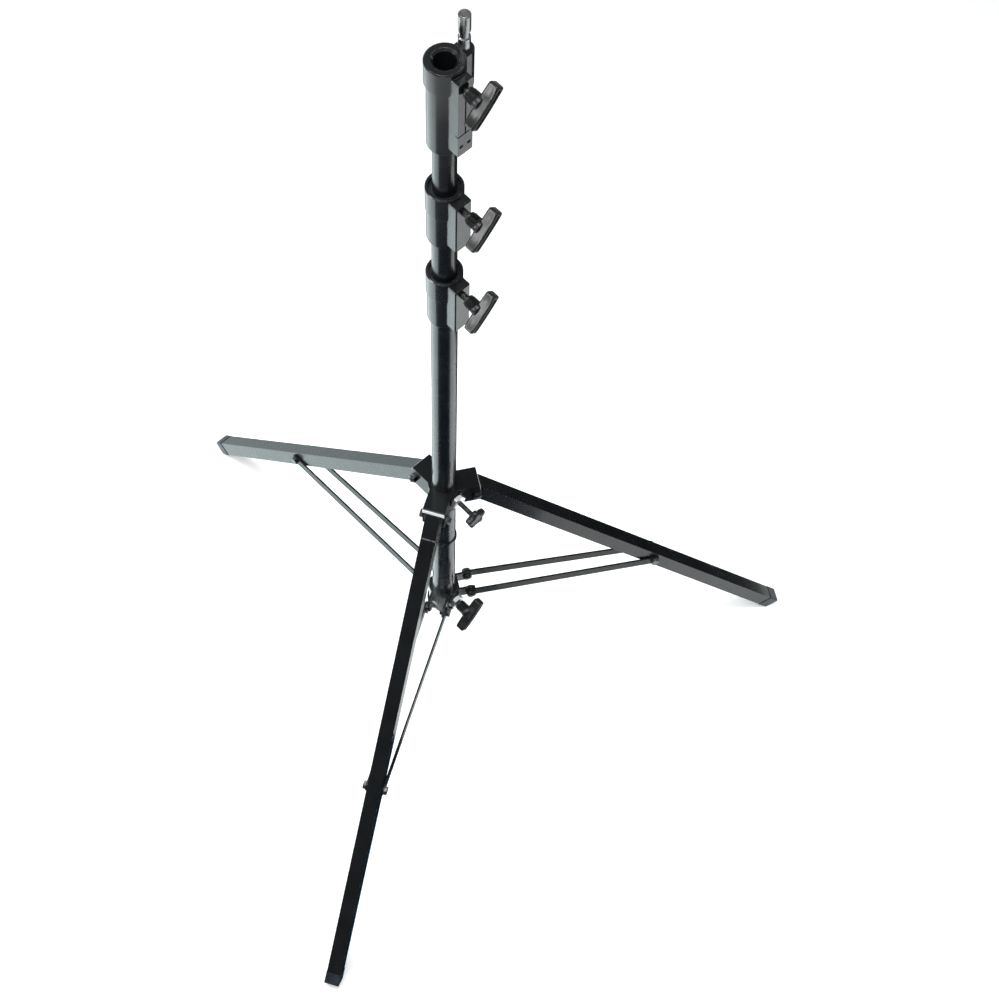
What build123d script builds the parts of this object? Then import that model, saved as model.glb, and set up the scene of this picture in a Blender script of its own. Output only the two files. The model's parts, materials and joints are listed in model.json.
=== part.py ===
"""Three-section combo lighting stand: double-braced folding legs, two risers, combo head."""

import math
import os

from build123d import *

os.makedirs("parts", exist_ok=True)

# ---------------------------------------------------------------- driving dimensions, mm and degrees
# Column
base_tube_od = 38.0
tube_wall = 1.2
column_bottom = 268.0
plug_depth = 16.0            # closes the foot of the base tube
guide_length = 22.0          # plastic guides inside the risers' feet
guide_lip = 3.0

# Heights of the castings
lower_collar_bottom = 1180.0
upper_collar_bottom = 1372.0
collar_height = 109.0
collar_seat = 60.0           # depth of a collar's tube socket
head_bottom = 1572.0
head_height = 160.0
head_socket = 62.0           # depth of the head's socket for riser 2

# Leg base
leg_angles = {"front": -90.0, "right": 30.0, "left": 150.0}
clamp_angle = -30.0          # the clamp handles face between the front and the right leg
pin_angle = 60.0             # the 16 mm pin stands a quarter turn from the handles
leg_lean = 40.7              # from the vertical, opened out
hub_pivot_height = 669.0
hub_pivot_radius = 48.5
lower_pivot_height = 323.0
lower_pivot_radius = 43.5
brace_reach = 492.0          # along the leg, from its own pivot to the brace pivot
leg_width = 24.0
leg_depth = 27.0
leg_wall = 2.0
floor_trim = 1.5             # flat worn on the lowest edge of each foot cap

# Clearances and fits
running_fit = 0.06           # radial, between a sliding tube and its guide
sliding_gap = 0.3            # between parts that pass each other without touching
thread_gap = 0.3             # radial, between a clamp stud and its hole

# Mounts: what the stand holds
receiver_radius = 14.35      # takes a 28.6 mm junior pin
receiver_depth = 88.0
receiver_chamfer = 3.0
baby_pin_radius = 7.95       # 16 mm pin
baby_pin_rise = 57.5         # above the receiver

# ---------------------------------------------------------------- worked out from the above
riser_1_od = base_tube_od - 2 * (tube_wall + sliding_gap)
riser_2_od = riser_1_od - 2 * (tube_wall + sliding_gap)
base_tube_top = lower_collar_bottom + collar_seat
riser_1_top = upper_collar_bottom + collar_seat
riser_2_top = head_bottom + head_socket
head_top = head_bottom + head_height
baby_pin_top = head_top + baby_pin_rise

lean = math.radians(leg_lean)
cap_wall = 0.8
cap_half_depth = leg_depth / 2 + cap_wall
cap_half_width = leg_width / 2 + cap_wall
leg_reach = (hub_pivot_height + floor_trim - cap_half_depth * math.sin(lean)) / math.cos(lean)
foot_radius = hub_pivot_radius + leg_reach * math.sin(lean) + cap_half_depth * math.cos(lean)
back_reach = foot_radius * math.sin(math.radians(30)) + cap_half_width * math.cos(math.radians(30))
column_y = (foot_radius - back_reach) / 2

brace_across = hub_pivot_radius - lower_pivot_radius + brace_reach * math.sin(lean)
brace_drop = brace_reach * math.cos(lean) - (hub_pivot_height - lower_pivot_height)
brace_length = math.hypot(brace_across, brace_drop)
brace_slope = math.degrees(math.atan2(brace_drop, brace_across))


# ---------------------------------------------------------------- planes
def level(height):
    """Horizontal plane at a height, centred on the column."""
    return Plane(origin=(0, column_y, height))


def facing(angle, radius, height):
    """Upright plane that looks outwards from the column; its y axis points up."""
    turn = math.radians(angle)
    out = Vector(math.cos(turn), math.sin(turn), 0)
    across = Vector(-math.sin(turn), math.cos(turn), 0)
    return Plane(origin=(radius * out.X, column_y + radius * out.Y, height), x_dir=across, z_dir=out)


def side(angle, radius=0.0, height=0.0, tilt=0.0, sideways=0.0, toe=0.0):
    """Upright plane seen edge-on from outside: x runs outwards, tipped down by tilt and turned in by toe."""
    turn = math.radians(angle)
    place = (
        radius * math.cos(turn) + sideways * math.sin(turn),
        column_y + radius * math.sin(turn) - sideways * math.cos(turn),
        height,
    )
    heading = turn + math.radians(toe)
    drop = math.radians(tilt)
    along = (math.cos(heading) * math.cos(drop), math.sin(heading) * math.cos(drop), -math.sin(drop))
    return Plane(origin=place, x_dir=along, z_dir=(math.sin(heading), -math.cos(heading), 0))


clamp_axis = Axis(facing(clamp_angle, 0, 0).origin, facing(clamp_angle, 0, 0).z_dir)


def save(builder, name):
    """Name a finished sub-part and write its STEP file."""
    builder.part.label = name
    export_step(builder.part, f"parts/{name}.step")
    print(f"{name:24s} {builder.part.volume / 1000:9.2f} cm3  solids {len(builder.part.solids())}")


# ---------------------------------------------------------------- column tubes
def make_tube(name, diameter, bottom, top):
    """Drawn steel tube."""
    with BuildPart() as tube:
        with BuildSketch(level(bottom)):
            Circle(diameter / 2)
            Circle(diameter / 2 - tube_wall, mode=Mode.SUBTRACT)
        extrude(amount=top - bottom)
    save(tube, name)


# Closed down, riser 1 stands on the plug of the base tube and riser 2 on the guide of riser 1
riser_1_bottom = column_bottom + plug_depth + guide_lip + sliding_gap
riser_2_bottom = riser_1_bottom + guide_length + guide_lip + sliding_gap

make_tube("base_tube", base_tube_od, column_bottom, base_tube_top)
make_tube("riser_1", riser_1_od, riser_1_bottom, riser_1_top)
make_tube("riser_2", riser_2_od, riser_2_bottom, riser_2_top)

# Plastic plug that closes the foot of the base tube
plug_flange = 4.0
with BuildPart() as base_plug:
    with BuildSketch(level(column_bottom - plug_flange)):
        Circle(base_tube_od / 2)
    extrude(amount=plug_flange)
    with BuildSketch(level(column_bottom)):
        Circle(base_tube_od / 2 - tube_wall)
    extrude(amount=plug_depth)
    chamfer(base_plug.faces().sort_by(Axis.Z)[0].edges(), 1.5)
save(base_plug, "base_tube_plug")


def make_guide(name, riser_diameter, riser_bottom):
    """Plastic guide ring pressed into the foot of a riser; its lip runs in the tube outside."""
    outer = riser_diameter / 2 + sliding_gap - running_fit
    spigot = riser_diameter / 2 - tube_wall
    with BuildPart() as guide:
        with BuildSketch(level(riser_bottom - guide_lip)):
            Circle(outer)
        extrude(amount=guide_lip)
        with BuildSketch(level(riser_bottom)):
            Circle(spigot)
        extrude(amount=guide_length)
        with BuildSketch(level(riser_bottom - guide_lip)):
            Circle(spigot - 3)
        extrude(amount=guide_length + guide_lip, mode=Mode.SUBTRACT)
    save(guide, name)


make_guide("riser_1_guide", riser_1_od, riser_1_bottom)
make_guide("riser_2_guide", riser_2_od, riser_2_bottom)

# ---------------------------------------------------------------- clamp collars
sleeve_radius = base_tube_od / 2 + 5.2
cup_radius = sleeve_radius + 1.4
cup_bore = sleeve_radius - 2.8
cup_depth = 9.0
seam_height = collar_seat + 6.0
seam_width = 1.2
seam_depth = 1.0
boss_face = sleeve_radius + 12.8   # outer face of the boss, from the column axis
boss_width = 27.0
boss_start = 9.0
boss_end = collar_height - 5.0
boss_round = 2.0
knob_rise = collar_height - 20.0   # handle axis above the bottom of a collar
stud_radius = 5.0
shoe_radius = 5.0
shoe_length = 5.0


def make_collar(name, tube_diameter, riser_diameter, bottom):
    """Cast collar clamped on a tube, with the handle boss at its side."""
    with BuildPart() as collar:
        with BuildSketch(level(bottom)):
            Circle(sleeve_radius)
        extrude(amount=seam_height)
        chamfer(collar.faces().sort_by(Axis.Z)[0].edges(), 3)
        with BuildSketch(level(bottom + seam_height)):
            Circle(cup_radius)
        extrude(amount=collar_height - seam_height)
        chamfer(collar.faces().sort_by(Axis.Z)[-1].edges(), 1.2)
        with BuildSketch(facing(clamp_angle, 0, bottom + (boss_start + boss_end) / 2)):
            RectangleRounded(boss_width, boss_end - boss_start, boss_round)
        extrude(amount=boss_face)
        chamfer(collar.faces().sort_by(clamp_axis)[-1].edges(), 1.5)
        with BuildSketch(level(bottom + seam_height - seam_width)):
            Circle(cup_radius + 1)
            Circle(sleeve_radius - seam_depth, mode=Mode.SUBTRACT)
            with Locations(Location((0, 0, 0), (0, 0, clamp_angle))):
                Rectangle(2 * boss_face, boss_width, align=(Align.MIN, Align.CENTER), mode=Mode.SUBTRACT)
        extrude(amount=seam_width, mode=Mode.SUBTRACT)
        with BuildSketch(level(bottom)):
            Circle(tube_diameter / 2)
        extrude(amount=collar_height, mode=Mode.SUBTRACT)
        with BuildSketch(level(bottom + collar_height - cup_depth)):
            Circle(cup_bore)
        extrude(amount=cup_depth, mode=Mode.SUBTRACT)
        with BuildSketch(facing(clamp_angle, 0, bottom + knob_rise)):
            Circle(stud_radius + thread_gap)
        extrude(amount=boss_face + 1, mode=Mode.SUBTRACT)
    save(collar, name)

    bush_bottom = bottom + collar_seat
    with BuildPart() as bush:
        with BuildSketch(level(bush_bottom)):
            Circle(tube_diameter / 2)
            Circle(riser_diameter / 2 + running_fit, mode=Mode.SUBTRACT)
        extrude(amount=collar_height - cup_depth - collar_seat)
        with BuildSketch(level(bottom + collar_height - cup_depth)):
            Circle(cup_bore)
            Circle(riser_diameter / 2 + running_fit, mode=Mode.SUBTRACT)
        extrude(amount=2.5)
        with BuildSketch(facing(clamp_angle, 0, bottom + knob_rise)):
            Circle(stud_radius + thread_gap)
        extrude(amount=boss_face, mode=Mode.SUBTRACT)
    save(bush, name + "_bush")

    shoe_start = riser_diameter / 2 + sliding_gap
    with BuildPart() as shoe:
        with BuildSketch(facing(clamp_angle, 0, bottom + knob_rise)):
            Circle(shoe_radius)
        extrude(amount=shoe_start + shoe_length)
        with BuildSketch(level(bottom)):
            Circle(shoe_start)
        extrude(amount=collar_height, mode=Mode.SUBTRACT)
    save(shoe, name + "_shoe")


make_collar("lower_collar", base_tube_od, riser_1_od, lower_collar_bottom)
make_collar("upper_collar", riser_1_od, riser_2_od, upper_collar_bottom)

# ---------------------------------------------------------------- combo head
head_sleeve_radius = riser_2_od / 2 + 7.2
rim_radius = head_sleeve_radius + 3.0
rim_height = 38.0
head_boss_width = 24.0
head_boss_bottom = head_bottom + 15.0
head_boss_split = head_bottom + 54.0
head_boss_top = head_top - 8.0
slit_width = 2.0
slit_top = head_top - 42.0
lug_radius = 31.0
lug_round = 12.5
lug_bottom = head_top - 68.0
lug_top = head_top - 5.0
head_knob_height = head_top - 24.0
head_screw_height = head_bottom + 32.0
head_screw_spread = 12.6
head_screw_radius = 3.0
drain_radius = 8.0
pin_seat = lug_bottom + 8.0

with BuildPart() as combo_head:
    with BuildSketch(level(head_bottom)):
        Circle(head_sleeve_radius)
    extrude(amount=head_top - rim_height - head_bottom)
    chamfer(combo_head.faces().sort_by(Axis.Z)[0].edges(), 3)
    with BuildSketch(level(head_top - rim_height)):
        Circle(rim_radius)
    extrude(amount=rim_height)
    chamfer(combo_head.faces().sort_by(Axis.Z)[-1].edges(), 1.5)
    with BuildSketch(facing(clamp_angle, 0, (head_boss_bottom + head_boss_top) / 2)):
        RectangleRounded(head_boss_width, head_boss_top - head_boss_bottom, boss_round)
    extrude(amount=boss_face)
    with BuildSketch(level(lug_bottom)):
        with Locations(Location((0, 0, 0), (0, 0, pin_angle))):
            Rectangle(lug_radius, 2 * lug_round, align=(Align.MIN, Align.CENTER))
        with Locations(Location((0, 0, 0), (0, 0, pin_angle))):
            with Locations((lug_radius, 0)):
                Circle(lug_round)
    extrude(amount=lug_top - lug_bottom)
    # Split of the clamp flanges and the step between them and the lower block
    with BuildSketch(facing(clamp_angle, rim_radius, (head_boss_split + slit_top) / 2)):
        Rectangle(slit_width, slit_top - head_boss_split)
    extrude(amount=boss_face, mode=Mode.SUBTRACT)
    with BuildSketch(facing(clamp_angle, boss_face - 5, head_boss_split)):
        Rectangle(head_boss_width + 2, slit_width)
    extrude(amount=boss_face, mode=Mode.SUBTRACT)
    # Receiver, riser socket and the drain between them
    with BuildSketch(level(head_top - receiver_depth)):
        Circle(receiver_radius)
    extrude(amount=receiver_depth, mode=Mode.SUBTRACT)
    with BuildSketch(level(head_top - receiver_chamfer)):
        Circle(receiver_radius)
    with BuildSketch(level(head_top)):
        Circle(receiver_radius + receiver_chamfer)
    loft(mode=Mode.SUBTRACT)
    with BuildSketch(level(head_bottom)):
        Circle(riser_2_od / 2)
    extrude(amount=riser_2_top - head_bottom, mode=Mode.SUBTRACT)
    with BuildSketch(level(riser_2_top)):
        Circle(drain_radius)
    extrude(amount=receiver_depth, mode=Mode.SUBTRACT)
    # Holes for the clamp stud, the pin and the two fixing screws
    with BuildSketch(facing(clamp_angle, 0, head_knob_height)):
        Circle(stud_radius + thread_gap)
    extrude(amount=boss_face + 1, mode=Mode.SUBTRACT)
    with BuildSketch(level(pin_seat)):
        with Locations(Location((0, 0, 0), (0, 0, pin_angle))):
            with Locations((lug_radius, 0)):
                Circle(baby_pin_radius)
    extrude(amount=head_top - pin_seat, mode=Mode.SUBTRACT)
    with BuildSketch(facing(clamp_angle, riser_2_od / 2, head_screw_height)):
        with GridLocations(head_screw_spread, 1, 2, 1):
            Circle(head_screw_radius)
    extrude(amount=boss_face, mode=Mode.SUBTRACT)
save(combo_head, "combo_head")

# The two screws that fix the head on riser 2, each with a hexagon socket
socket_flat = 3.0
with BuildPart() as head_screws:
    with BuildSketch(facing(clamp_angle, riser_2_od / 2 + 2.5, head_screw_height)):
        with GridLocations(head_screw_spread, 1, 2, 1):
            Circle(head_screw_radius)
    extrude(amount=boss_face - riser_2_od / 2 - 3.5)
    with BuildSketch(facing(clamp_angle, boss_face - 4, head_screw_height)):
        with GridLocations(head_screw_spread, 1, 2, 1):
            RegularPolygon(socket_flat / 2, 6, major_radius=False)
    extrude(amount=4, mode=Mode.SUBTRACT)
save(head_screws, "head_screws")

# 16 mm pin with its locking neck
neck_radius = 6.5
neck_bottom = lug_top + 22.0
neck_top = neck_bottom + 12.0
turn = math.radians(pin_angle)
with BuildPart() as baby_pin:
    with BuildSketch(Plane(origin=(lug_radius * math.cos(turn), column_y + lug_radius * math.sin(turn), 0),
                           x_dir=(1, 0, 0), z_dir=(0, -1, 0))):
        with BuildLine():
            Polyline(
                (0, pin_seat),
                (baby_pin_radius, pin_seat),
                (baby_pin_radius, neck_bottom),
                (neck_radius, neck_bottom + 1.5),
                (neck_radius, neck_top - 1.5),
                (baby_pin_radius, neck_top),
                (baby_pin_radius, baby_pin_top - 1.5),
                (baby_pin_radius - 1.5, baby_pin_top),
                (0, baby_pin_top),
                close=True,
            )
        make_face()
    revolve(axis=Axis((lug_radius * math.cos(turn), column_y + lug_radius * math.sin(turn), 0), (0, 0, 1)))
save(baby_pin, "baby_pin")

# ---------------------------------------------------------------- hubs
hub_radius = base_tube_od / 2 + 6.0
bracket_end = hub_pivot_radius + 6.5   # outer edge of the upper brackets, from the column axis
bracket_half = leg_width / 2 + 6.0
bracket_plate = 3.0
bracket_top = hub_pivot_height + 24.0
bracket_top_plate = 4.0
bracket_lip = 9.0            # the top plate is bent down at its end
bracket_bottom = hub_pivot_height - 18.0
bracket_round = 3.0
upper_sleeve_bottom = hub_pivot_height - 29.0
pivot_bolt_radius = 4.0
pivot_gap = 0.15             # radial, in the folding pivots
lock_nut_flat = 22.0
lock_nut_height = 8.0
lock_pad = (bracket_half + lock_nut_flat / 3) / math.sin(math.radians(60))   # keeps the nut off the brackets
lock_height_upper = hub_pivot_height + 8.0
lock_height_lower = lower_pivot_height - 5.0
lock_stud_radius = 4.0
lock_pad_width = 22.0

with BuildPart() as upper_hub:
    with BuildSketch(level(upper_sleeve_bottom)):
        Circle(hub_radius)
    extrude(amount=bracket_top - upper_sleeve_bottom)
    for angle in leg_angles.values():
        with BuildSketch(side(angle)) as outline:
            with Locations((bracket_end / 2, (bracket_top + bracket_bottom) / 2)):
                Rectangle(bracket_end, bracket_top - bracket_bottom)
            fillet(outline.vertices().group_by(Axis.X)[-1], bracket_round)
        extrude(amount=bracket_half, both=True)
    for angle in leg_angles.values():
        with BuildSketch(side(angle)):
            with Locations((hub_radius, bracket_bottom - 1)):
                Rectangle(bracket_end - bracket_plate - hub_radius,
                          bracket_top - bracket_top_plate - bracket_bottom + 1,
                          align=(Align.MIN, Align.MIN))
                Rectangle(bracket_end, bracket_top - bracket_lip - bracket_bottom + 1,
                          align=(Align.MIN, Align.MIN))
        extrude(amount=bracket_half - bracket_plate, both=True, mode=Mode.SUBTRACT)
        with BuildSketch(side(angle, hub_pivot_radius, hub_pivot_height)):
            Circle(pivot_bolt_radius)
        extrude(amount=bracket_half + 1, both=True, mode=Mode.SUBTRACT)
    with BuildSketch(facing(clamp_angle, 0, lock_height_upper)):
        Rectangle(lock_pad_width, lock_pad_width)
    extrude(amount=lock_pad)
    with BuildSketch(level(upper_sleeve_bottom)):
        Circle(base_tube_od / 2)
    extrude(amount=bracket_top - upper_sleeve_bottom, mode=Mode.SUBTRACT)
    with BuildSketch(facing(clamp_angle, base_tube_od / 2 - 1, lock_height_upper)):
        Circle(lock_stud_radius + thread_gap)
    extrude(amount=lock_pad, mode=Mode.SUBTRACT)
save(upper_hub, "upper_hub")

lug_half = 16.0
lug_plate = 4.0
lug_end = lower_pivot_radius + 8.0
lower_hub_bottom = lower_pivot_height - 38.0
lower_hub_top = lower_pivot_height + 12.0
lug_drop = 12.0
flange_radius = hub_radius + 3.0
flange_height = 6.0

with BuildPart() as lower_hub:
    with BuildSketch(level(lower_hub_bottom)):
        Circle(hub_radius)
    extrude(amount=lower_hub_top - lower_hub_bottom)
    with BuildSketch(level(lower_hub_bottom)):
        Circle(flange_radius)
    extrude(amount=flange_height)
    for angle in leg_angles.values():
        with BuildSketch(side(angle)) as outline:
            with Locations((0, lower_hub_top)):
                Rectangle(lug_end, lower_hub_top - lower_pivot_height + lug_drop, align=(Align.MIN, Align.MAX))
            fillet(outline.vertices().group_by(Axis.X)[-1], bracket_round)
        extrude(amount=lug_half, both=True)
    for angle in leg_angles.values():
        with BuildSketch(side(angle)):
            with Locations((hub_radius, lower_hub_top + 1)):
                Rectangle(lug_end, lower_hub_top, align=(Align.MIN, Align.MAX))
        extrude(amount=lug_half - lug_plate, both=True, mode=Mode.SUBTRACT)
        with BuildSketch(side(angle, lower_pivot_radius, lower_pivot_height)):
            Circle(pivot_bolt_radius)
        extrude(amount=lug_half + 1, both=True, mode=Mode.SUBTRACT)
    with BuildSketch(facing(clamp_angle, 0, lock_height_lower)):
        Rectangle(lock_pad_width, lock_pad_width)
    extrude(amount=lock_pad)
    with BuildSketch(level(lower_hub_bottom)):
        Circle(base_tube_od / 2 + running_fit)
    extrude(amount=lower_hub_top - lower_hub_bottom, mode=Mode.SUBTRACT)
    with BuildSketch(facing(clamp_angle, base_tube_od / 2 - 1, lock_height_lower)):
        Circle(lock_stud_radius + thread_gap)
    extrude(amount=lock_pad, mode=Mode.SUBTRACT)
save(lower_hub, "lower_hub")

# Stop ring on the base tube: the lower hub meets it when the legs are folded
stop_ring_height = 8.0
stop_ring_radius = base_tube_od / 2 + 2.0
folded_lean = 8.0
folded = math.radians(folded_lean)
folded_slope = math.acos((hub_pivot_radius - lower_pivot_radius + brace_reach * math.sin(folded)) / brace_length)
hub_travel = (hub_pivot_height - lower_pivot_height) - (
    brace_reach * math.cos(folded) - brace_length * math.sin(folded_slope))
with BuildPart() as stop_ring:
    with BuildSketch(level(lower_hub_top + hub_travel + 1)):
        Circle(stop_ring_radius)
        Circle(base_tube_od / 2, mode=Mode.SUBTRACT)
    extrude(amount=stop_ring_height)
    chamfer(stop_ring.edges().filter_by(GeomType.CIRCLE).group_by(SortBy.RADIUS)[-1], 0.8)
save(stop_ring, "stop_ring")

# ---------------------------------------------------------------- fasteners of the leg base
bolt_head_flat = 13.0
bolt_head_height = 5.5
nut_height = 7.0
bolt_tip = 2.5
thin_nut_height = 4.0
thin_nut_tip = 1.0
brace_thickness = 3.0
brace_gap = 0.5
brace_outer = lug_half + brace_gap + brace_thickness


def make_pivot_bolts(name, radius, height, head_face, nut_face, nut_depth, tip, signs):
    """Bolts of one row of pivots: head face and nut face are measured sideways from the leg's middle."""
    with BuildPart() as bolts:
        for angle in leg_angles.values():
            for sign in signs:
                with BuildSketch(side(angle, radius, height, sideways=sign * (nut_face - nut_depth - tip))):
                    Circle(pivot_bolt_radius)
                extrude(amount=sign * (head_face - nut_face + nut_depth + tip))
                with BuildSketch(side(angle, radius, height, sideways=sign * head_face)):
                    RegularPolygon(bolt_head_flat / 2, 6, major_radius=False)
                extrude(amount=sign * bolt_head_height)
    save(bolts, name + "_bolts")

    with BuildPart() as nuts:
        for angle in leg_angles.values():
            for sign in signs:
                with BuildSketch(side(angle, radius, height, sideways=sign * (nut_face - nut_depth))):
                    RegularPolygon(bolt_head_flat / 2, 6, major_radius=False)
                    Circle(pivot_bolt_radius, mode=Mode.SUBTRACT)
                extrude(amount=sign * nut_depth)
    save(nuts, name + "_nuts")


# One long bolt through each upper bracket, and a short bolt with a thin nut in each lower ear
make_pivot_bolts("leg_pivot", hub_pivot_radius, hub_pivot_height, bracket_half, -bracket_half,
                 nut_height, bolt_tip, (1,))
make_pivot_bolts("brace_pivot", lower_pivot_radius, lower_pivot_height, brace_outer + sliding_gap,
                 lug_half - lug_plate, thin_nut_height, thin_nut_tip, (1, -1))

# ---------------------------------------------------------------- legs
cap_cover = 22.0
cap_end = 5.0
washer_radius = 9.5
washer_face = bracket_half - bracket_plate - sliding_gap
spacer_radius = 6.5
web_behind = 6.0             # the web of the channel starts this far behind the pivot

for name, angle in leg_angles.items():
    leg_side = side(angle, hub_pivot_radius, hub_pivot_height, tilt=90 - leg_lean)
    with BuildPart() as leg:
        with BuildSketch(leg_side):
            Circle(leg_depth / 2)
            Rectangle(leg_reach - cap_end, leg_depth, align=(Align.MIN, Align.CENTER))
        extrude(amount=leg_width / 2, both=True)
        with BuildSketch(leg_side):
            with Locations((-leg_depth, leg_depth / 2 - leg_wall)):
                Rectangle(leg_reach + leg_depth, leg_depth, align=(Align.MIN, Align.MAX))
            with Locations((-web_behind, 0)):
                Rectangle(leg_depth, leg_depth, align=(Align.MAX, Align.CENTER))
        extrude(amount=leg_width / 2 - leg_wall, both=True, mode=Mode.SUBTRACT)
        with BuildSketch(leg_side):
            Circle(pivot_bolt_radius + pivot_gap)
            with Locations((brace_reach, 0)):
                Circle(pivot_bolt_radius)
        extrude(amount=leg_width, both=True, mode=Mode.SUBTRACT)
    save(leg, f"leg_{name}")

    with BuildPart() as cap:
        with BuildSketch(leg_side):
            with Locations((leg_reach, 0)):
                Rectangle(cap_cover, 2 * cap_half_depth, align=(Align.MAX, Align.CENTER))
        extrude(amount=cap_half_width, both=True)
        fillet(cap.edges().filter_by(Axis(leg_side.origin, leg_side.x_dir)), 1.2)
        with BuildSketch(leg_side):
            with Locations((leg_reach - cap_end, 0)):
                Rectangle(cap_cover, leg_depth, align=(Align.MAX, Align.CENTER))
        extrude(amount=leg_width / 2, both=True, mode=Mode.SUBTRACT)
        with BuildSketch(leg_side):
            with Locations((leg_reach - cap_end, -leg_wall / 2)):
                Rectangle(cap_cover - 2 * cap_end, leg_depth - leg_wall, align=(Align.MAX, Align.CENTER))
        extrude(amount=leg_width / 2 - leg_wall, both=True)
        split(bisect_by=Plane.XY, keep=Keep.TOP)
    save(cap, f"foot_cap_{name}")

    with BuildPart() as washers:
        for face in (leg_width / 2, -washer_face):
            with BuildSketch(side(angle, hub_pivot_radius, hub_pivot_height, sideways=face)):
                Circle(washer_radius)
                Circle(pivot_bolt_radius + pivot_gap, mode=Mode.SUBTRACT)
            extrude(amount=washer_face - leg_width / 2)
    save(washers, f"leg_washers_{name}")

    # Tube between the walls of the channel, on the line of the brace pivot
    with BuildPart() as spacer:
        with BuildSketch(leg_side):
            with Locations((brace_reach, 0)):
                Circle(spacer_radius)
                Circle(pivot_bolt_radius, mode=Mode.SUBTRACT)
        extrude(amount=leg_width / 2 - leg_wall, both=True)
    save(spacer, f"brace_spacer_{name}")

# ---------------------------------------------------------------- braces
brace_width = 18.0
brace_hub_middle = lug_half + brace_gap + brace_thickness / 2
brace_leg_middle = leg_width / 2 + brace_gap + brace_thickness / 2
toe_in = math.degrees(math.atan2(brace_hub_middle - brace_leg_middle, brace_across))
rivet_head_radius = 8.0
rivet_head_height = 5.0

for name, angle in leg_angles.items():
    for hand, sign in (("a", 1), ("b", -1)):
        brace_side = side(angle, lower_pivot_radius, lower_pivot_height, tilt=brace_slope,
                          sideways=sign * brace_hub_middle, toe=sign * toe_in)
        with BuildPart() as brace:
            with BuildSketch(brace_side):
                with Locations((brace_length / 2, 0)):
                    SlotCenterToCenter(brace_length, brace_width)
                Circle(pivot_bolt_radius + pivot_gap, mode=Mode.SUBTRACT)
                with Locations((brace_length, 0)):
                    Circle(pivot_bolt_radius, mode=Mode.SUBTRACT)
            extrude(amount=brace_thickness / 2, both=True)
        save(brace, f"brace_{name}_{hand}")

    # Pivot at the leg: a head and a short shank on each brace, which stop short of the leg
    with BuildPart() as rivets:
        for sign in (1, -1):
            brace_side = side(angle, lower_pivot_radius, lower_pivot_height, tilt=brace_slope,
                              sideways=sign * brace_hub_middle, toe=sign * toe_in)
            with BuildSketch(brace_side):
                with Locations((brace_length, 0)):
                    Circle(pivot_bolt_radius)
            extrude(amount=brace_thickness / 2, both=True)
            with BuildSketch(brace_side.offset(sign * brace_thickness / 2)):
                with Locations((brace_length, 0)):
                    RegularPolygon(bolt_head_flat / 2, 6, major_radius=False)
            extrude(amount=sign * rivet_head_height)
    save(rivets, f"brace_end_bolts_{name}")

# ---------------------------------------------------------------- clamp handles
barrel_length = 20.0
barrel_radius = 10.5
barrel_tip_radius = 9.0
bar_length = 64.0
bar_width = 14.0
bar_depth = 18.0
bar_corner = 4.0
bar_turn = 48.0
stud_in_knob = 14.0


def make_handle(name, height, start, stud_start, radius):
    """Plastic T handle whose barrel starts at a distance from the column, and its steel stud."""
    with BuildPart() as handle:
        with BuildSketch(facing(clamp_angle, start, height)):
            Circle(barrel_tip_radius)
        with BuildSketch(facing(clamp_angle, start + barrel_length, height)):
            Circle(barrel_radius)
        loft()
        with BuildSketch(facing(clamp_angle, start + barrel_length - 2, height)):
            RectangleRounded(bar_length, bar_width, bar_corner, rotation=bar_turn)
        extrude(amount=bar_depth)
        fillet(handle.faces().sort_by(clamp_axis)[-1].edges(), bar_corner / 2)
        with BuildSketch(facing(clamp_angle, start, height)):
            Circle(radius)
        extrude(amount=stud_in_knob, mode=Mode.SUBTRACT)
    save(handle, name)

    with BuildPart() as stud:
        with BuildSketch(facing(clamp_angle, stud_start, height)):
            Circle(radius)
        extrude(amount=start + stud_in_knob - stud_start)
    save(stud, name + "_stud")


handle_start = boss_face + 9.5
shoe_reach = sliding_gap + shoe_length + 0.2
nut_clearance = 1.75         # between the lower lock nut and its handle
make_handle("head_handle", head_knob_height, handle_start - 6, receiver_radius + 1, stud_radius)
make_handle("upper_collar_handle", upper_collar_bottom + knob_rise, handle_start,
            riser_2_od / 2 + shoe_reach, stud_radius)
make_handle("lower_collar_handle", lower_collar_bottom + knob_rise, handle_start,
            riser_1_od / 2 + shoe_reach, stud_radius)
make_handle("lower_hub_handle", lock_height_lower, lock_pad + lock_nut_height + nut_clearance,
            base_tube_od / 2 + sliding_gap, lock_stud_radius)

# Small lobed knob that locks the upper hub
lock_knob_start = 64.0
lock_knob_depth = 14.0
lobe_count = 5
lobe_radius = 6.5
lobe_ring = 12.0
with BuildPart() as lock_knob:
    with BuildSketch(facing(clamp_angle, lock_knob_start, lock_height_upper)):
        Circle(lobe_ring)
        with PolarLocations(lobe_ring, lobe_count):
            Circle(lobe_radius)
    extrude(amount=lock_knob_depth)
    with BuildSketch(facing(clamp_angle, lock_knob_start, lock_height_upper)):
        Circle(lock_stud_radius)
    extrude(amount=lock_knob_depth / 2, mode=Mode.SUBTRACT)
save(lock_knob, "hub_lock_knob")

with BuildPart() as lock_stud:
    with BuildSketch(facing(clamp_angle, base_tube_od / 2 + sliding_gap, lock_height_upper)):
        Circle(lock_stud_radius)
    extrude(amount=lock_knob_start + lock_knob_depth / 2 - base_tube_od / 2 - sliding_gap)
save(lock_stud, "hub_lock_knob_stud")

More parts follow.
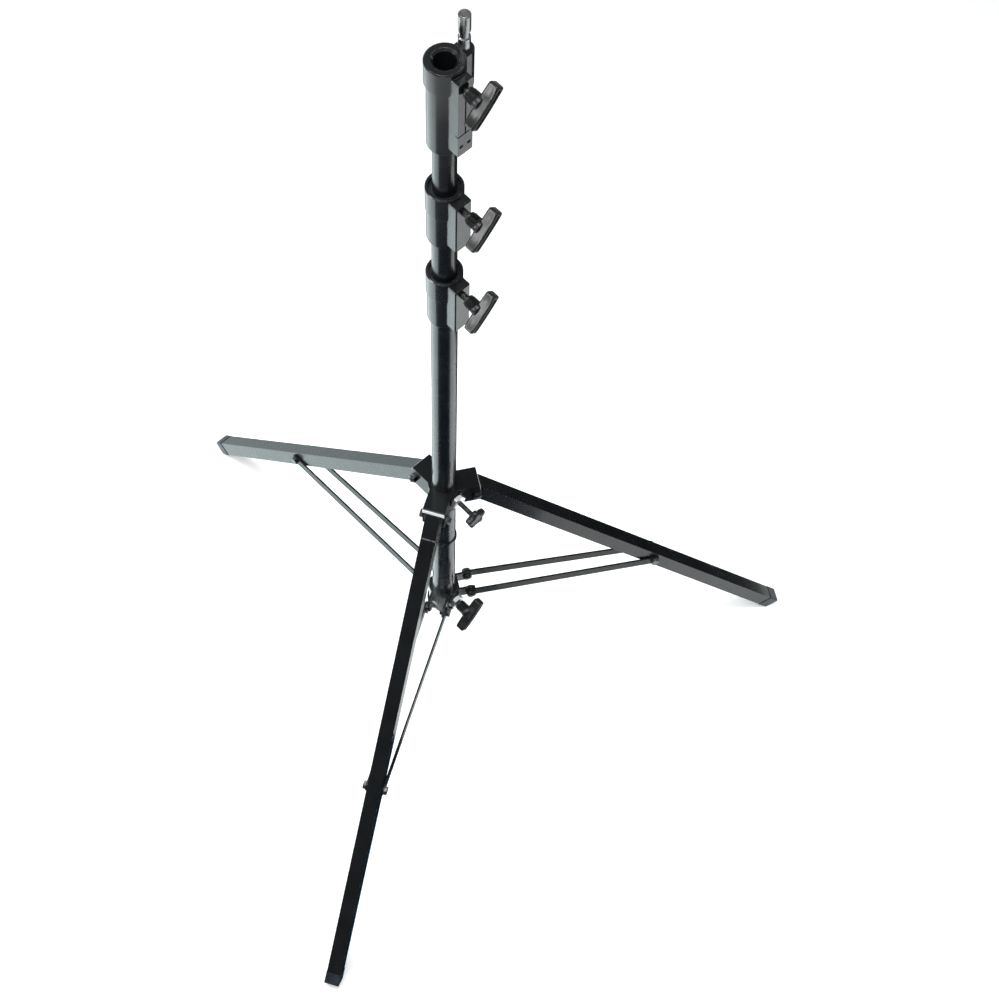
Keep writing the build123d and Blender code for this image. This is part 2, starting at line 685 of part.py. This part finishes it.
# Zinc-plated lock nuts that bear on the hub flats
for name, height in (("upper_hub_lock_nut", lock_height_upper), ("lower_hub_lock_nut", lock_height_lower)):
    with BuildPart() as lock_nut:
        with BuildSketch(facing(clamp_angle, lock_pad, height)):
            RegularPolygon(lock_nut_flat / 2, 6, major_radius=False)
            Circle(lock_stud_radius + thread_gap, mode=Mode.SUBTRACT)
        extrude(amount=lock_nut_height)
    save(lock_nut, name)

# ---------------------------------------------------------------- values for the joints
print("column_y", column_y)
print("brace_length", brace_length, "brace_slope", brace_slope)
print("hub_travel", hub_travel, "folded_slope", math.degrees(folded_slope))
print("leg_reach", leg_reach, "foot_radius", foot_radius)
print("riser feet", riser_1_bottom, riser_2_bottom, "riser tops", riser_1_top, riser_2_top)
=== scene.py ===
import json
import math

import bmesh
import bpy
from mathutils import Matrix, Vector


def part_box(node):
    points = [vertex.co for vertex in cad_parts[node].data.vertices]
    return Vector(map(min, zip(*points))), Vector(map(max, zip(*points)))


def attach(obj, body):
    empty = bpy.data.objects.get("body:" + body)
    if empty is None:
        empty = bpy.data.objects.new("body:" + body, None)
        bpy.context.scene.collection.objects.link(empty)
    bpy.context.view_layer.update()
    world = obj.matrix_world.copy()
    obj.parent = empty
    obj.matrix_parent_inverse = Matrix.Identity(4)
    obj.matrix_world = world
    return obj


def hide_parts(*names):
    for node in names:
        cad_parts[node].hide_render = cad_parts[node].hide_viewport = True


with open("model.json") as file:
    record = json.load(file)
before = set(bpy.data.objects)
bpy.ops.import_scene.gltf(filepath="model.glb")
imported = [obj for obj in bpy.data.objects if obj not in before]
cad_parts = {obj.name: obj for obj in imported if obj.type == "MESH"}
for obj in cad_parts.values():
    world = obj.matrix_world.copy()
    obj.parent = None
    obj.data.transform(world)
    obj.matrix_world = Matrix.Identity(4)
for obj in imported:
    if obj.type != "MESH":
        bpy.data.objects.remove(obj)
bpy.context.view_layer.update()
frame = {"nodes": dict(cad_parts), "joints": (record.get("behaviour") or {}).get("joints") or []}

# ---- Viewpoint
# A long lens well above the stand and a little to the right of its front leg, so that the
# receiver, the clamp handles and all three feet are in view at once.
tube_low, tube_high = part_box("base_tube")
column_axis = Vector(((tube_low.x + tube_high.x) / 2, (tube_low.y + tube_high.y) / 2, 0))
camera_stand = Matrix.Translation(column_axis + Vector((0.5311, -1.6813, 3.9272)))
camera_heading = Matrix.Rotation(math.radians(14.675), 4, "Z")
camera_pitch = Matrix.Rotation(math.radians(28.229), 4, "X")
camera_roll = Matrix.Rotation(math.radians(2.63), 4, "Z")
lens = bpy.data.cameras.new("camera")
lens.lens = 84.98
lens.sensor_width = 36.0
camera = bpy.data.objects.new("camera", lens)
bpy.context.scene.collection.objects.link(camera)
camera.matrix_world = camera_stand @ camera_heading @ camera_pitch @ camera_roll
bpy.context.scene.camera = camera

# ---- Studio
# White paper floor under a dim white tent. A broad lamp overhead lights the paper, two narrow
# ones its sides, and a fourth the grips of the handles. The round tubes mirror the floor, so
# sectors on it that only reflections see make their bands: dark in front, bright on the left.


class Wire:
    """One output of a shader node. Sums written with it add their Math nodes."""

    def __init__(self, tree, socket):
        self.tree = tree
        self.socket = socket

    def node(self, kind, settings=None, inputs=None, output=0):
        """Add a node: its settings first, then the values or wires of its sockets."""
        made = self.tree.nodes.new(kind)
        for name, value in (settings or {}).items():
            setattr(made, name, value)
        for name, value in (inputs or {}).items():
            if isinstance(value, Wire):
                self.tree.links.new(value.socket, made.inputs[name])
            else:
                made.inputs[name].default_value = value
        return Wire(self.tree, made.outputs[output])

    def sum(self, operation, first, second):
        return self.node("ShaderNodeMath", {"operation": operation}, {0: first, 1: second})

    def __add__(self, other):
        return self.sum("ADD", self, other)

    def __radd__(self, other):
        return self.sum("ADD", other, self)

    def __sub__(self, other):
        return self.sum("SUBTRACT", self, other)

    def __rsub__(self, other):
        return self.sum("SUBTRACT", other, self)

    def __mul__(self, other):
        return self.sum("MULTIPLY", self, other)

    def __rmul__(self, other):
        return self.sum("MULTIPLY", other, self)

    def dot(self, direction):
        """Length of this vector along a direction."""
        both = {0: self, 1: direction}
        return self.node("ShaderNodeVectorMath", {"operation": "DOT_PRODUCT"}, both, "Value")

    def noise(self, scale, detail=3.0, stretch=(1, 1, 1)):
        """Noise at so many cells a metre on this place, stretched where a number is below 1."""
        place = self.node("ShaderNodeMapping", None, {"Vector": self, "Scale": stretch})
        cells = {"Vector": place, "Scale": scale, "Detail": detail}
        return self.node("ShaderNodeTexNoise", None, cells)

    def ramp(self, low, high, start=0.0, end=1.0):
        """Value that goes from start to end as this one goes from low to high."""
        values = {"Value": self, 1: low, 2: high, 3: start, 4: end}
        return self.node("ShaderNodeMapRange", {"interpolation_type": "SMOOTHSTEP"}, values)

    def mix(self, low, high):
        """Colour from low to high by this mask."""
        return self.node("ShaderNodeMix", {"data_type": "RGBA"}, {0: self, 6: low, 7: high}, 2)

    def into(self, shader, name):
        self.tree.links.new(self.socket, shader.inputs[name])


def new_material(name, **constants):
    """Material, its shader and the object coordinates. Constants go straight on the shader."""
    material = bpy.data.materials.new(name)
    material.use_nodes = True
    tree = material.node_tree
    shader = tree.nodes["Principled BSDF"]
    for label, value in constants.items():
        shader.inputs[label.replace("_", " ").title().replace("Ior", "IOR")].default_value = value
    coordinates = tree.nodes.new("ShaderNodeTexCoord")
    return material, shader, Wire(tree, coordinates.outputs["Object"])


def settle(bm, name, place=Matrix.Identity(4), smooth=35.0):
    """Turn a bmesh into an object with its place in its mesh."""
    bmesh.ops.remove_doubles(bm, verts=bm.verts, dist=1e-6)
    bmesh.ops.recalc_face_normals(bm, faces=bm.faces)
    bm.transform(place)
    for face in bm.faces:
        face.smooth = True
    for edge in bm.edges:
        edge.smooth = edge.calc_face_angle(0.0) < math.radians(smooth)
    mesh = bpy.data.meshes.new(name)
    bm.to_mesh(mesh)
    bm.free()
    piece = bpy.data.objects.new(name, mesh)
    bpy.context.scene.collection.objects.link(piece)
    return piece


paper, paper_shader, paper_place = new_material(
    "floor_paper", roughness=0.85, specular_ior_level=0.1, emission_color=(1, 1, 1, 1),
    emission_strength=0.28)
paper_tone = paper_place.noise(2.0).mix((0.93, 0.93, 0.93, 1), (0.95, 0.95, 0.95, 1))
paper_tone.into(paper_shader, "Base Color")
bm = bmesh.new()
bmesh.ops.create_grid(bm, x_segments=1, y_segments=1, size=14.0)
floor = settle(bm, "floor")
floor.data.materials.append(paper)

tent = bpy.data.worlds.new("tent")
tent.use_nodes = True
tent.node_tree.nodes["Background"].inputs["Color"].default_value = (0.96, 0.98, 1.0, 1)
tent.node_tree.nodes["Background"].inputs["Strength"].default_value = 0.3
bpy.context.scene.world = tent
bpy.context.scene.view_settings.view_transform = "Standard"


def box_light(name, place, aim, size, power, spread=180.0, tint=(1, 1, 1)):
    """Soft rectangular lamp aimed at a point."""
    lamp = bpy.data.lights.new(name, "AREA")
    lamp.color = tint
    lamp.spread = math.radians(spread)
    lamp.shape = "RECTANGLE"
    lamp.size, lamp.size_y = size
    lamp.energy = power
    holder = bpy.data.objects.new(name, lamp)
    bpy.context.scene.collection.objects.link(holder)
    turn = (Vector(aim) - Vector(place)).to_track_quat("-Z", "Y").to_matrix().to_4x4()
    holder.matrix_world = Matrix.Translation(place) @ turn
    holder.visible_camera = False


box_light("top_box", (-0.2, -0.7, 4.7), (0.0, 0.15, 0.0), (2.4, 2.4), 150.0)
cool = (0.86, 1.0, 1.0)
box_light("left_box", (-1.0, 0.25, 2.0), (-0.85, 0.2, 0.0), (0.7, 1.3), 8.0, 75.0, cool)
box_light("right_box", (1.15, 0.55, 2.0), (0.95, 0.5, 0.0), (0.5, 1.0), 4.0, 75.0, cool)
box_light("grip_box", (-1.95, -1.42, 2.1), (0.08, 0.1, 1.4), (1.0, 1.2), 9.0, 70.0)


def card(name, radii, azimuths, radiance, tint=(0.86, 0.99, 1.0, 1)):
    """Sector lying on the floor round the column that only reflections see."""
    finish = new_material(name, base_color=(0, 0, 0, 1), roughness=1.0, specular_ior_level=0.0,
                          emission_color=tint, emission_strength=radiance)[0]
    bm = bmesh.new()
    ends = [bm.verts.new((radius, 0, 0)) for radius in radii]
    rim = bm.edges.new(ends)
    sweep = math.radians(azimuths[1] - azimuths[0])
    bmesh.ops.spin(bm, geom=[*ends, rim], cent=(0, 0, 0), axis=(0, 0, 1), angle=sweep, steps=32)
    middle = Vector((column_axis.x, column_axis.y, 0.002))
    place = Matrix.Translation(middle) @ Matrix.Rotation(math.radians(azimuths[0]), 4, "Z")
    sheet = settle(bm, name, place)
    sheet.data.materials.append(finish)
    sheet.visible_camera = sheet.visible_diffuse = sheet.visible_shadow = False
    sheet.visible_transmission = sheet.visible_volume_scatter = False


card("front_flag", (0.17, 1.3), (-128, -20), 0.06, (0.1, 0.5, 1.0, 1))
card("rear_flag", (0.17, 3.5), (52, 112), 0.02)
card("right_flag", (0.72, 3.5), (24, 52), 0.02)
card("left_flag", (0.62, 3.5), (112, 150), 0.95)
card("left_bounce", (0.012, 1.3), (150, 228), 2.2)

# ---- Column tubes
# Three drawn steel tubes in satin black powder coat. Sliding in the collars has polished the two
# risers along their length, and the coat has the faint ripple that powder leaves.


def powder_coat(name, shade, roughness, ripple, wear, gloss=1.0):
    """Satin coat on steel: ripple, cloudy gloss, and metal showing where edges are rubbed."""
    material, shader, place = new_material(
        name, ior=1.5, coat_roughness=0.1, coat_ior=1.45, specular_ior_level=0.22 * gloss)
    fine = place.noise(850.0, 2.0)
    cloud = place.noise(26.0, 4.0)
    edge_normal = place.node("ShaderNodeBevel", {"samples": 4}, {"Radius": 0.0009})
    face_normal = place.node("ShaderNodeNewGeometry", None, None, "Normal")
    rub = place.noise(140.0, 5.0).ramp(0.44, 0.66)
    edge = edge_normal.dot(face_normal).ramp(0.995, 0.86) * rub * wear
    scuff = place.noise(60.0, 6.0, (1, 1, 0.12)).ramp(0.62, 0.78) * 0.3
    base = (cloud * 0.6 + fine * 0.4).ramp(0.3, 0.7)
    dark = tuple(0.7 * value for value in shade) + (1,)
    light = tuple(1.3 * value for value in shade) + (1,)
    colour = base.mix(dark, light)
    edge.mix(colour, (0.2, 0.2, 0.21, 1)).into(shader, "Base Color")
    (roughness + (cloud - 0.5) * 0.09 + scuff * 0.12 - edge * 0.08).into(shader, "Roughness")
    (0.34 * gloss + cloud.ramp(0.35, 0.7) * 0.1 * gloss).into(shader, "Coat Weight")
    height = {"Height": fine + cloud * 0.6, "Strength": ripple, "Distance": 0.0002,
              "Normal": edge_normal}
    place.node("ShaderNodeBump", None, height).into(shader, "Normal")
    return material


def dress(material, *nodes):
    """Give CAD nodes their finish."""
    for name in nodes:
        slots = frame["nodes"][name].material_slots
        for slot in slots:
            slot.material = material


tube_black = powder_coat("tube_black", (0.0048, 0.0056, 0.0066), 0.27, 0.16, 0.5)
dress(tube_black, "base_tube", "riser_1", "riser_2", "stop_ring")

# ---- Clamp collars and combo head
# Aluminium castings, tumbled and coated black. Their skin is coarser than that of the tubes,
# and the corners of the clamp bosses are rubbed.
cast_black = powder_coat("cast_black", (0.0062, 0.0072, 0.0078), 0.25, 0.2, 1.0, 1.2)
dress(cast_black, "lower_collar", "upper_collar", "combo_head")

# ---- Hubs
# The upper hub is fixed on the base tube and carries the legs between bent plates, whose lips
# carry a painted highlight. The lower hub slides on the tube and carries the braces between its
# ears.
hub_black = powder_coat("hub_black", (0.0045, 0.0054, 0.006), 0.3, 0.25, 1.0, 0.5)
joint_of = {joint["name"]: joint for joint in frame["joints"]}
corners = ("front", "right", "left")
lip_out, lip_up, fade = 0.0052, 0.014, 0.001
tree = hub_black.node_tree
coat = Wire(tree, tree.nodes["Principled BSDF"].inputs["Base Color"].links[0].from_socket)
place = Wire(tree, tree.nodes["Texture Coordinate"].outputs["Object"])
# Painted highlight: a pale band on the bent lip of each upper bracket, broken up with noise.
lip_highlight = None
for corner in corners:
    pivot = Vector(joint_of[f"leg_{corner}_fold"]["pos_m"])
    out = Vector((pivot.x - column_axis.x, pivot.y - column_axis.y, 0)).normalized()
    reach = place.node("ShaderNodeVectorMath", {"operation": "SUBTRACT"}, {0: place, 1: pivot})
    beyond = reach.dot(out).ramp(lip_out, lip_out + fade)
    lip = beyond * reach.dot((0, 0, 1)).ramp(lip_up, lip_up + fade)
    lip_highlight = lip if lip_highlight is None else lip_highlight + lip
lip_highlight = lip_highlight * place.noise(220.0, 3.0).ramp(0.25, 0.45, 0.6, 1.0)
lip_highlight.mix(coat, (0.7, 0.72, 0.73, 1)).into(tree.nodes["Principled BSDF"], "Base Color")
dress(hub_black, "upper_hub")
dress(cast_black, "lower_hub")

# ---- Legs
# Roll-formed steel channels with the open side down. A painted highlight across the back of each
# one stands for light on the edge where the doubled end that takes the pivot stops; it is paler on
# the front leg. The long corners are rubbed bright.
doubled_end, line_half, line_fade = 0.036, 0.0006, 0.001


def leg_steel(corner):
    """Coat of one leg, with a painted highlight line where its doubled part ends."""
    joint = joint_of[f"leg_{corner}_fold"]
    pivot = Vector(joint["pos_m"])
    foot_low, foot_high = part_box(f"foot_cap_{corner}")
    along = ((foot_low + foot_high) / 2 - pivot).normalized()
    material = powder_coat(f"leg_black_{corner}", (0.0045, 0.0052, 0.0062), 0.26, 0.12, 0.8, 0.55)
    tree = material.node_tree
    shader = tree.nodes["Principled BSDF"]
    coat = Wire(tree, shader.inputs["Base Color"].links[0].from_socket)
    place = Wire(tree, tree.nodes["Texture Coordinate"].outputs["Object"])
    reach = place.node("ShaderNodeVectorMath", {"operation": "SUBTRACT"}, {0: place, 1: pivot})
    reach = reach.dot(along)
    start, end = doubled_end - line_half, doubled_end + line_half
    line = reach.ramp(start - line_fade, start) * reach.ramp(end, end + line_fade, 1.0, 0.0)
    # Painted highlight: the line is pale, and paler on the front leg, where light catches that
    # edge.
    highlight_colour = (0.1, 0.1, 0.1, 1) if corner == "front" else (0.016, 0.016, 0.016, 1)
    broken_highlight = line * place.noise(300.0).ramp(0.3, 0.5)
    broken_highlight.mix(coat, highlight_colour).into(shader, "Base Color")
    return material


for corner in corners:
    dress(leg_steel(corner), f"leg_{corner}")

# ---- Braces
# A pair of flat steel bars to each leg, coated like the legs, with rounded ends on their pivots.
brace_black = powder_coat("brace_black", (0.006, 0.007, 0.008), 0.34, 0.2, 0.8, 0.35)
for corner in corners:
    dress(brace_black, f"brace_{corner}_a", f"brace_{corner}_b")

# ---- Pivot bolts and nuts
# Blackened M8 hexagon bolts with a few turns of thread past their nuts: a long one through each
# upper bracket, and a short one with a thin nut in each ear of the lower hub. Heads and nuts are
# chamfered where a spanner starts.


def bare_metal(name, shade, light, roughness, grain):
    """Metal finish: dull and bright patches, fine marks and a rubbed edge."""
    material, shader, place = new_material(name, metallic=1.0)
    patch = place.noise(90.0, 5.0)
    fine = place.noise(1500.0, 2.0, (1, 1, 0.25))
    edge_normal = place.node("ShaderNodeBevel", {"samples": 4}, {"Radius": 0.0005})
    tone = (patch * 0.7 + fine * 0.3).ramp(0.35, 0.68)
    tone.mix(shade + (1,), light + (1,)).into(shader, "Base Color")
    (roughness + (patch - 0.5) * 0.25 + (fine - 0.5) * 0.08).into(shader, "Roughness")
    height = {"Height": fine + patch * 0.5, "Strength": grain, "Distance": 0.0001,
              "Normal": edge_normal}
    place.node("ShaderNodeBump", None, height).into(shader, "Normal")
    return material


def turned(bm, profile, segments=40):
    """Lathe a profile of (radius, height) about the z axis."""
    corners = [bm.verts.new((radius, 0, height)) for radius, height in profile]
    edges = [bm.edges.new(pair) for pair in zip(corners, corners[1:])]
    bmesh.ops.spin(bm, geom=corners + edges, cent=(0, 0, 0), axis=(0, 0, 1), angle=2 * math.pi,
                   steps=segments, use_merge=True, use_duplicate=False)


def ringed(bm, rings, segments):
    """Close a skin over rings, each a function from an angle to (radius, height)."""
    made = bmesh.ops.create_circle(bm, segments=segments, radius=1.0)
    loop = made["verts"]
    angles = [math.atan2(vert.co.y, vert.co.x) for vert in loop]
    edges = list({edge for vert in loop for edge in vert.link_edges})
    first = edges
    for number, ring in enumerate(rings):
        if number:
            grown = bmesh.ops.extrude_edge_only(bm, edges=edges)["geom"]
            edges = [item for item in grown if isinstance(item, bmesh.types.BMEdge)
                     and all(vert in grown for vert in item.verts)]
            new = [item for item in grown if isinstance(item, bmesh.types.BMVert)]
            angles = [math.atan2(vert.co.y, vert.co.x) for vert in new]
            loop = new
        for vert, angle in zip(loop, angles):
            radius, height = ring(angle)
            vert.co = (radius * math.cos(angle), radius * math.sin(angle), height)
    bmesh.ops.holes_fill(bm, edges=first + edges, sides=segments)


def hexagon(flat, low, high):
    """Rings of a hexagon nut or head, chamfered at its corners."""
    def side_radius(angle):
        sixth = math.pi / 3
        return flat / 2 / math.cos((angle + 4 * math.pi) % sixth - sixth / 2)

    def drop(angle):
        return (side_radius(angle) - flat * 0.485) * 0.58

    return [lambda angle: (flat * 0.475, low),
            lambda angle: (side_radius(angle), low + drop(angle)),
            lambda angle: (side_radius(angle), high - drop(angle)),
            lambda angle: (flat * 0.475, high)]


def threaded(bm, radius, low, high, pitch=0.00125):
    """Rod with thread crests between two heights, closed at both ends."""
    profile = [(0, low), (radius - pitch * 0.6, low)]
    height = low + pitch / 2
    while height < high - pitch:
        profile += [(radius, height), (radius - pitch * 0.55, height + pitch / 2)]
        height += pitch
    turned(bm, profile + [(radius - pitch * 0.8, high), (0, high)], 28)


def frame_on(origin, z_axis, y_axis=Vector((0, 0, 1))):
    """Matrix whose z axis is the given direction, at a point."""
    z_axis = z_axis.normalized()
    x_axis = y_axis.cross(z_axis).normalized()
    y_axis = z_axis.cross(x_axis)
    turn = Matrix((x_axis, y_axis, z_axis)).transposed().to_4x4()
    return Matrix.Translation(origin) @ turn


dark_steel = bare_metal("dark_steel", (0.03, 0.031, 0.034), (0.16, 0.165, 0.17), 0.34, 0.2)
bolt_flat, bolt_head, bolt_radius = 0.013, 0.0055, 0.004


def bolt_set(body, joints, signs, head_face, nut_face, depth, tip, node):
    """Bolts with their nuts on the named joints' axes, pointing to the given sides."""
    bolts, nuts = bmesh.new(), bmesh.new()
    for joint in joints:
        for sign in signs:
            middle, axis = joint_of[joint]["pos_m"], joint_of[joint]["axis"]
            place = frame_on(Vector(middle), -sign * Vector(axis))
            one = bmesh.new()
            ringed(one, hexagon(bolt_flat, head_face, head_face + bolt_head), 48)
            threaded(one, bolt_radius, nut_face - depth - tip, head_face)
            one.transform(place)
            add(bolts, one)
            one = bmesh.new()
            ringed(one, hexagon(bolt_flat, nut_face - depth, nut_face), 48)
            one.transform(place)
            add(nuts, one)
    for bm, kind in ((bolts, "bolts"), (nuts, "nuts")):
        piece = settle(bm, f"{node}_{kind}_turned")
        piece.data.materials.append(dark_steel)
        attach(piece, body)
        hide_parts(f"{node}_{kind}")


def add(whole, part):
    """Move one bmesh into another."""
    bmesh.ops.recalc_face_normals(part, faces=part.faces)
    mesh = bpy.data.meshes.new("part")
    part.to_mesh(mesh)
    part.free()
    whole.from_mesh(mesh)
    bpy.data.meshes.remove(mesh)


bolt_set("column", [f"leg_{corner}_fold" for corner in corners], (1,), 0.018, -0.018, 0.007, 0.0025,
         "leg_pivot")
bolt_set("lower_hub", [f"braces_{corner}_swing" for corner in corners], (1, -1), 0.0198, 0.012,
         0.004, 0.001, "brace_pivot")
dress(dark_steel, "head_screws", *[f"brace_end_bolts_{corner}" for corner in corners],
      *[f"brace_spacer_{corner}" for corner in corners])

# ---- Lock nuts
# Large zinc-plated nuts that bear on the flats of both hubs, bright where the plating is clean.
bright_zinc = bare_metal("bright_zinc", (0.8, 0.81, 0.82), (0.95, 0.95, 0.95), 0.42, 0.15)
clamp_turn = math.radians(-30)
clamp_out = Vector((math.cos(clamp_turn), math.sin(clamp_turn), 0))


def span(node, direction):
    """Lowest and highest reach of a CAD node from the column's axis, along a direction."""
    verts = frame["nodes"][node].data.vertices
    reaches = [(vert.co - column_axis).dot(direction) for vert in verts]
    return min(reaches), max(reaches)


def clamp_frame(node):
    """Frame on the clamp side, at the height of a node, with z running outwards."""
    low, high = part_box(node)
    return frame_on(column_axis + Vector((0, 0, (low.z + high.z) / 2)), clamp_out)


lock_nut_flat = 0.022
for hub, body in (("upper_hub", "column"), ("lower_hub", "lower_hub")):
    node = f"{hub}_lock_nut"
    low, high = span(node, clamp_out)
    bm = bmesh.new()
    ringed(bm, hexagon(lock_nut_flat, low, high), 60)
    nut = settle(bm, f"{node}_plated", clamp_frame(node))
    nut.data.materials.append(bright_zinc)
    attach(nut, body)
    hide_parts(node)

# ---- Clamp handles
# Moulded black nylon T handles: a fluted barrel with a waisted grip across its end, dished on
# its broad sides and recessed along its back. A threaded steel stud is moulded into each one.


def moulded(name, shade, light, roughness, grain, gloss=0.22):
    """Moulded plastic: spark-eroded grain, and gloss where hands have polished it."""
    material, shader, place = new_material(name, ior=1.5, specular_ior_level=gloss)
    patch = place.noise(45.0, 4.0)
    grains = place.noise(2600.0, 1.0)
    edge_normal = place.node("ShaderNodeBevel", {"samples": 4}, {"Radius": 0.0006})
    patch.ramp(0.35, 0.7).mix(shade + (1,), light + (1,)).into(shader, "Base Color")
    (roughness + (patch - 0.5) * 0.3 + (grains - 0.5) * 0.1).into(shader, "Roughness")
    height = {"Height": grains + patch * 0.4, "Strength": grain, "Distance": 0.00012,
              "Normal": edge_normal}
    place.node("ShaderNodeBump", None, height).into(shader, "Normal")
    return material


handle_nylon = moulded(
    "handle_nylon", (0.005, 0.0055, 0.006), (0.01, 0.0105, 0.011), 0.3, 0.3, 0.32)
bar_length, bar_width, bar_depth = 0.064, 0.014, 0.018
barrel_length = 0.018
bar_turn = math.radians(48)


def grip_bar(start):
    """Grip of a T handle from a distance out: bevelled block, waisted, dished and recessed."""
    bm = bmesh.new()
    bmesh.ops.create_cube(bm, size=1.0)
    bmesh.ops.scale(bm, verts=bm.verts, vec=(bar_length, bar_width, bar_depth))
    bmesh.ops.bevel(bm, geom=list(bm.edges), offset=0.0026, segments=3, affect="EDGES", profile=0.5,
                    material=-1)
    back = max(bm.faces, key=lambda face: face.normal.z * face.calc_area())
    bmesh.ops.inset_region(bm, faces=[back], thickness=0.0022, depth=0.0)
    bmesh.ops.inset_region(bm, faces=[back], thickness=0.0009, depth=-0.0014)
    for step in range(1, 16):
        cut = bar_length * (step / 16 - 0.5)
        bmesh.ops.bisect_plane(bm, geom=list(bm.verts) + list(bm.edges) + list(bm.faces),
                               plane_co=(cut, 0, 0), plane_no=(1, 0, 0))
    for cut in (-0.004, 0.0, 0.004):
        bmesh.ops.bisect_plane(bm, geom=list(bm.verts) + list(bm.edges) + list(bm.faces),
                               plane_co=(0, 0, cut), plane_no=(0, 0, 1))
    for vert in bm.verts:
        part = abs(vert.co.x) / (bar_length / 2)
        high = 1 - (2 * vert.co.z / bar_depth) ** 2
        waist = 0.80 + 0.2 * min(1.0, part * 1.25) ** 2
        dish = 1 - 0.2 * max(0.0, high) * math.sin(math.pi * min(1.0, max(0.0, part * 1.35 - 0.3)))
        vert.co.y *= waist * dish
        if vert.co.z > 0:
            vert.co.z -= 0.0014 * part ** 2
        else:
            vert.co.z += 0.0016 * part ** 2
    bmesh.ops.rotate(bm, verts=bm.verts, cent=(0, 0, 0), matrix=Matrix.Rotation(bar_turn, 3, "Z"))
    bmesh.ops.translate(bm, verts=bm.verts, vec=(0, 0, start + bar_depth / 2))
    return bm


def barrel(bm, start):
    """Barrel with a rolled foot, five grooves and a flared shoulder under the grip."""
    profile = [(0, start), (0.0078, start), (0.0089, start + 0.0009), (0.0089, start + 0.0026)]
    groove = start + 0.0036
    while groove < start + 0.0135:
        profile += [(0.0082, groove), (0.0094, groove + 0.0006), (0.0096, groove + 0.0014),
                    (0.0084, groove + 0.0019)]
        groove += 0.0024
    profile += [(0.0098, start + barrel_length - 0.002), (0.0104, start + barrel_length),
                (0.0104, start + barrel_length + 0.002), (0.0094, start + barrel_length + 0.006),
                (0, start + barrel_length + 0.006)]
    turned(bm, profile, 48)


for node in ("head_handle", "upper_collar_handle", "lower_collar_handle", "lower_hub_handle"):
    start = span(node, clamp_out)[0]
    place = clamp_frame(f"{node}_stud")
    bm = grip_bar(start + barrel_length)
    one = bmesh.new()
    barrel(one, start)
    add(bm, one)
    handle = settle(bm, f"{node}_moulded", place, 50.0)
    handle.data.materials.append(handle_nylon)
    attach(handle, node)
    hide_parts(node)

    stud_low, stud_high = span(f"{node}_stud", clamp_out)
    stud_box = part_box(f"{node}_stud")
    bm = bmesh.new()
    threaded(bm, (stud_box[1].z - stud_box[0].z) / 2, stud_low, stud_high)
    stud = settle(bm, f"{node}_stud_threaded", place, 25.0)
    stud.data.materials.append(dark_steel)
    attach(stud, node)
    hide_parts(f"{node}_stud")

# ---- Hub lock knob
# Five-lobed knob in the same nylon on a longer stud, with a raised boss and a dished cap.
lobe_count, lobe_middle, lobe_swing = 5, 0.0155, 0.003
knob_low, knob_high = span("hub_lock_knob", clamp_out)


def lobe_ring(height, share):
    return lambda angle: (
        (lobe_middle + lobe_swing * math.cos(lobe_count * (angle - math.pi / 2))) * share, height)


bm = bmesh.new()
rings = [lambda angle: (0.0055, knob_low), lambda angle: (0.0072, knob_low + 0.0004),
         lambda angle: (0.0074, knob_low + 0.0028), lobe_ring(knob_low + 0.0032, 0.84),
         lobe_ring(knob_low + 0.004, 0.94), lobe_ring(knob_low + 0.0056, 1.0),
         lobe_ring(knob_high - 0.0034, 1.0), lobe_ring(knob_high - 0.0014, 0.96),
         lobe_ring(knob_high - 0.0004, 0.88), lobe_ring(knob_high, 0.76),
         lambda angle: (0.0088, knob_high), lambda angle: (0.0082, knob_high - 0.0009),
         lambda angle: (0.0030, knob_high - 0.0009)]
ringed(bm, rings, 100)
knob = settle(bm, "hub_lock_knob_moulded", clamp_frame("hub_lock_knob_stud"), 40.0)
knob.data.materials.append(handle_nylon)
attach(knob, "hub_lock_knob")
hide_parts("hub_lock_knob")
bm = bmesh.new()
threaded(bm, 0.004, *span("hub_lock_knob_stud", clamp_out))
knob_stud = settle(bm, "hub_lock_knob_stud_threaded", clamp_frame("hub_lock_knob_stud"), 25.0)
knob_stud.data.materials.append(dark_steel)
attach(knob_stud, "hub_lock_knob")
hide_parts("hub_lock_knob_stud")

# ---- Pin
# The 16 mm spigot is turned from bright steel bar, with fine lathe rings round it.
pin_steel = bare_metal("pin_steel", (0.28, 0.285, 0.29), (0.5, 0.505, 0.51), 0.24, 0.3)
dress(pin_steel, "baby_pin")

# ---- Foot caps and other mouldings
# Blue-black plastic caps on the leg ends, and the guides, bushes and plug inside the column.
cap_plastic = moulded("cap_plastic", (0.012, 0.016, 0.022), (0.03, 0.037, 0.048), 0.42, 0.4)
dress(cap_plastic, *[f"foot_cap_{corner}" for corner in corners], "base_tube_plug",
      "riser_1_guide", "riser_2_guide", "lower_collar_bush", "upper_collar_bush")
washer_nylon = moulded("washer_nylon", (0.02, 0.02, 0.021), (0.04, 0.04, 0.042), 0.5, 0.3)
dress(washer_nylon, *[f"leg_washers_{corner}" for corner in corners])

# ---- Clamp shoes
# Small brass pads that the studs press on the risers.
shoe_brass = bare_metal("shoe_brass", (0.45, 0.32, 0.13), (0.72, 0.56, 0.28), 0.32, 0.2)
dress(shoe_brass, "lower_collar_shoe", "upper_collar_shoe")
